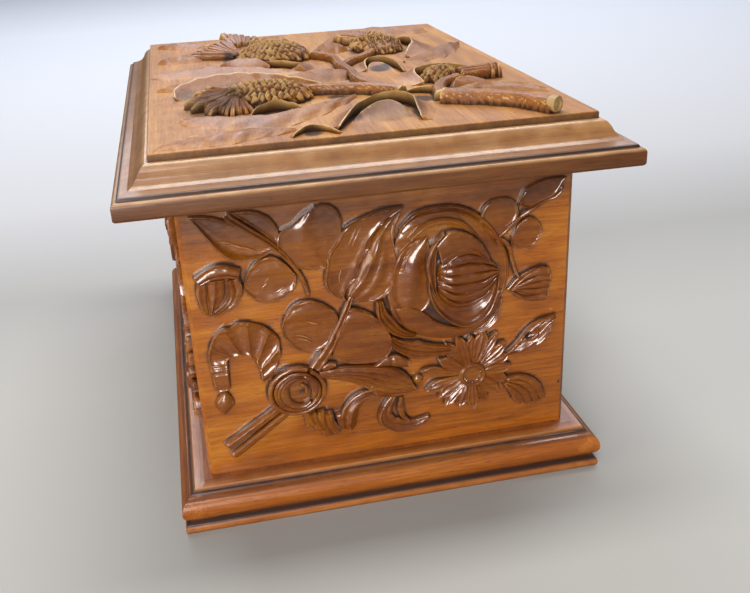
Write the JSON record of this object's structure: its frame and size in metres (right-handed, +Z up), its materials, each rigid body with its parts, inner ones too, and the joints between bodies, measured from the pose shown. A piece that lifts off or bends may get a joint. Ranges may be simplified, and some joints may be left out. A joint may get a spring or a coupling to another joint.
{
  "type": "carved wooden box",
  "caption": "Carved wooden casket on a moulded plinth, with relief-carved boards and a hinged, moulded and carved overhanging lid.",
  "frame": {"origin": "centre of the base, on the surface the box stands on", "axes": "+Z up, the near carved end faces -Y, the carved front faces -X and the hinged back faces +X"},
  "size_m": [0.226, 0.316, 0.1943],
  "materials": {
    "carved_wood": "carved walnut, stained and waxed to a gloss",
    "waxed_wood": "planed walnut, stained and waxed",
    "lid_wood": "faded walnut, waxed",
    "raw_wood": "bare, planed",
    "brass": "dulled brass",
    "steel": "turned steel, dulled"
  },
  "bodies": {
    "case": {"end_board_near": "carved_wood", "end_board_far": "carved_wood", "front_board": "carved_wood", "back_board": "waxed_wood", "bottom_board": "raw_wood", "plinth_near": "waxed_wood", "plinth_far": "waxed_wood", "plinth_front": "waxed_wood", "plinth_back": "waxed_wood", "glue_block_front_near": "raw_wood", "glue_block_front_far": "raw_wood", "glue_block_back_near": "raw_wood", "glue_block_back_far": "raw_wood", "bottom_screws": "steel", "hinge_near_case_leaf": "brass", "hinge_near_pin": "steel", "hinge_far_case_leaf": "brass", "hinge_far_pin": "steel", "hinge_case_screws": "brass"},
    "lid": {"lid_board": "lid_wood", "lid_carved_panel": "lid_wood", "lid_batten_near": "raw_wood", "lid_batten_far": "raw_wood", "batten_screws": "steel", "hinge_near_lid_leaf": "brass", "hinge_far_lid_leaf": "brass", "hinge_lid_screws": "brass"}
  },
  "joints": [
    {"name": "lid_hinge", "type": "hinge", "parent": "case", "child": "lid", "pos_m": [0.0935, 0, 0.161], "axis": [0, 1, 0], "range_deg": [0, 100]}
  ]
}
